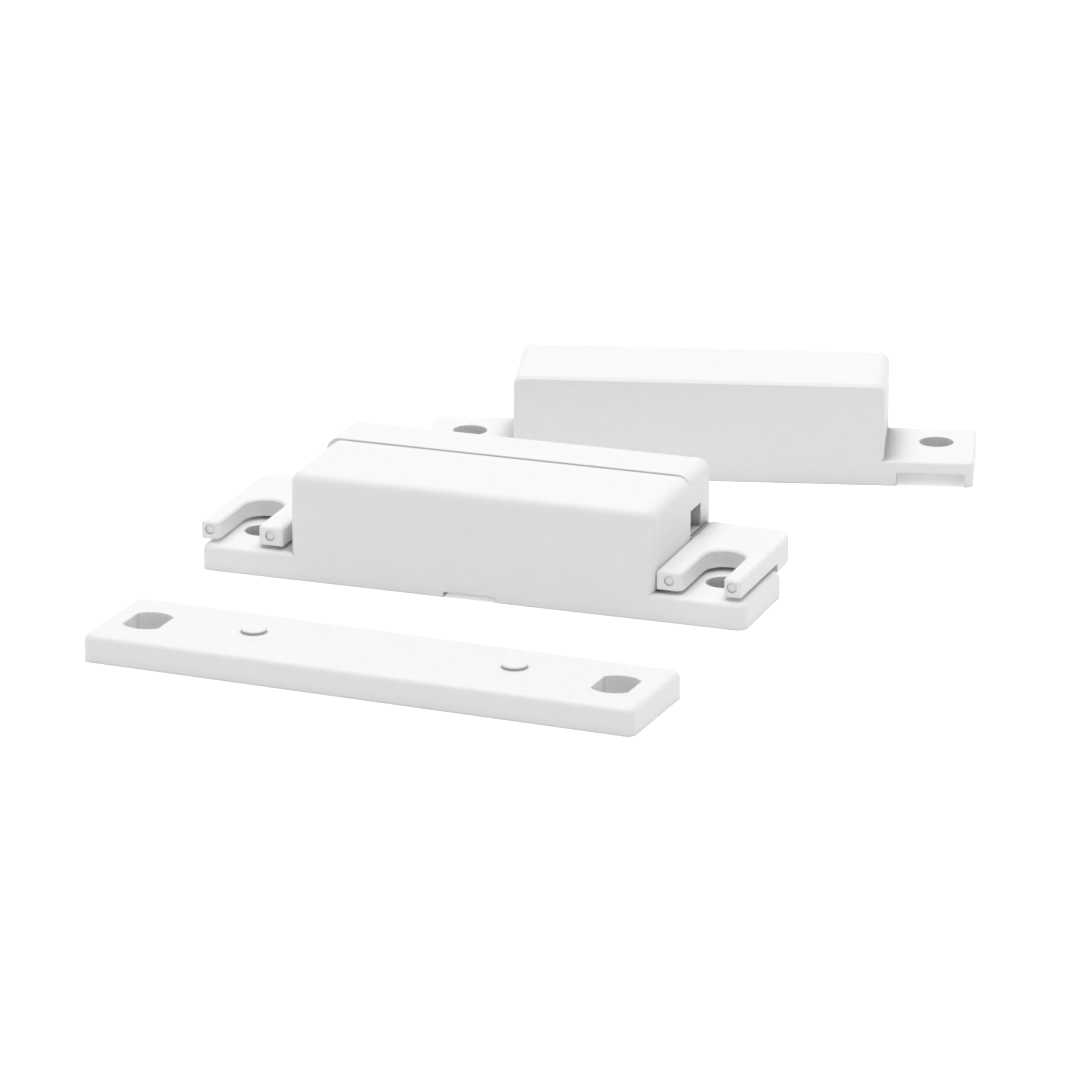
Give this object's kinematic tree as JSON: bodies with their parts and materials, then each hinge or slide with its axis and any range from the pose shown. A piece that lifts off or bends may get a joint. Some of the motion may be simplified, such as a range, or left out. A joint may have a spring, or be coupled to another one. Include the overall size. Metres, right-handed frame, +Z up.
{
  "type": "magnetic door contact",
  "caption": "Surface-mounted magnetic door contact: a reed switch unit with a slotted terminal cover, its magnet unit with screw ears, and a flat spacer plate.",
  "frame": {"origin": "centre of the bounding box of the laid-out set, on the face that all three units stand on", "axes": "+Z up from the mounting faces; +X along the switch unit, to the right seen from its front; +Y from the spacer plate over the switch unit to the magnet unit"},
  "size_m": [0.0734, 0.109, 0.0127],
  "materials": {
    "white_abs": "fine moulded satin",
    "reed_glass": "clear, faintly green",
    "nickel_iron": "drawn and tinned",
    "epoxy_resin": "cast, slightly glossy",
    "sintered_magnet": "ground, dark grey",
    "plated_brass": "stamped, tin plated",
    "zinc_steel": "zinc plated"
  },
  "bodies": {
    "root": {"switch_base": "white_abs", "terminal_cover": "white_abs", "magnet_housing": "white_abs", "spacer_plate": "white_abs", "reed_glass_tube": "reed_glass", "reed_blade_left": "nickel_iron", "reed_blade_right": "nickel_iron", "reed_potting": "epoxy_resin", "magnet_potting": "epoxy_resin", "bar_magnet": "sintered_magnet", "terminal_plate_left": "plated_brass", "terminal_plate_right": "plated_brass", "clamp_washer_left": "zinc_steel", "clamp_washer_right": "zinc_steel", "terminal_screw_left": "zinc_steel", "terminal_screw_right": "zinc_steel"}
  },
  "joints": []
}
